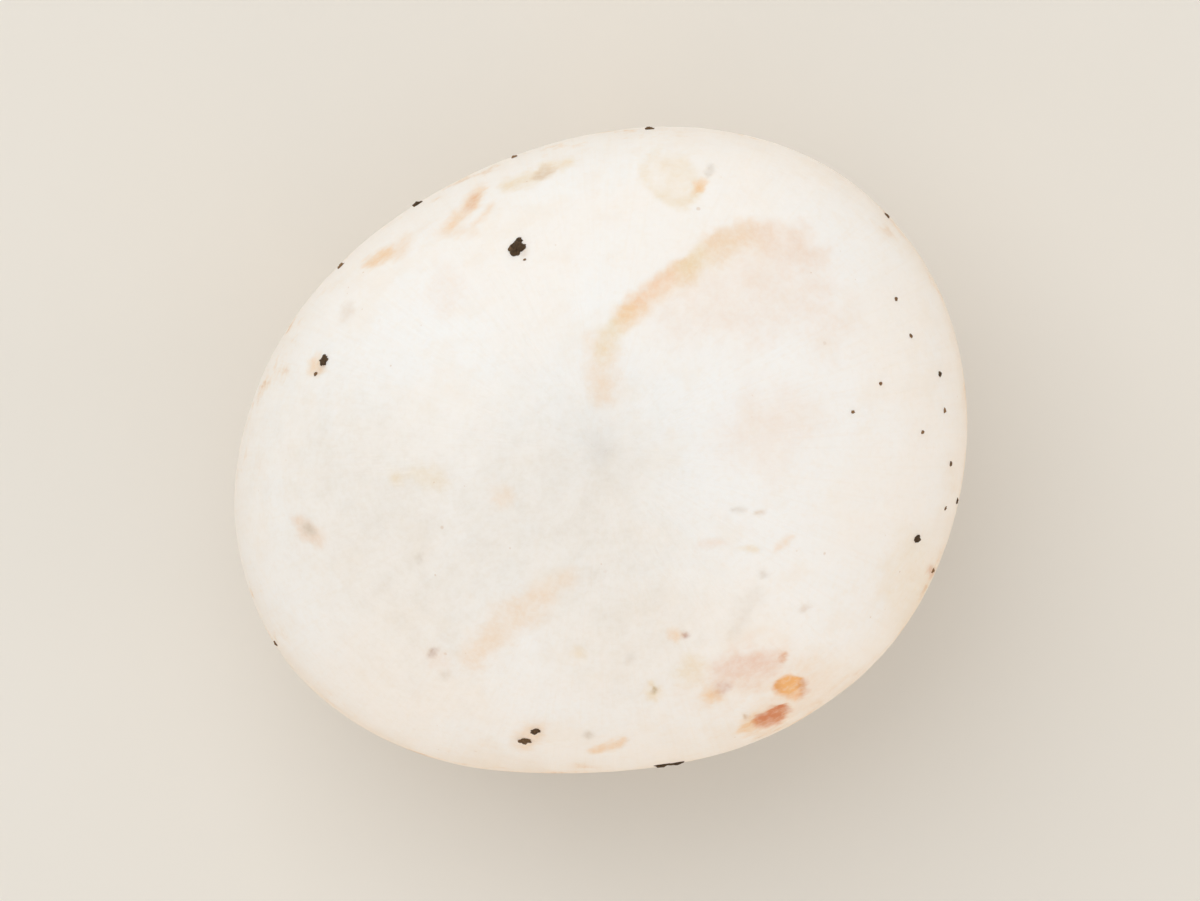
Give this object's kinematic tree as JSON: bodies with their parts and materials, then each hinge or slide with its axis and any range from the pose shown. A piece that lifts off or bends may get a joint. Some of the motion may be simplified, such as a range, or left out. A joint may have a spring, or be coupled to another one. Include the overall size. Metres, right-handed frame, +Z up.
{
  "type": "button mushroom",
  "caption": "White button mushroom with a domed cap, closed veil and short trimmed stem, standing on its cut end.",
  "frame": {"origin": "on the ground, under the middle of the mushroom's box", "axes": "+Z up out of the cut end towards the crown, +X roughly along the cap's longer way"},
  "size_m": [0.0448, 0.0396, 0.037],
  "materials": {
    "mushroom_flesh": "matte skin with a faint silky sheen, warm white with small peach bruises"
  },
  "bodies": {
    "root": {"mushroom": "mushroom_flesh"}
  },
  "joints": []
}
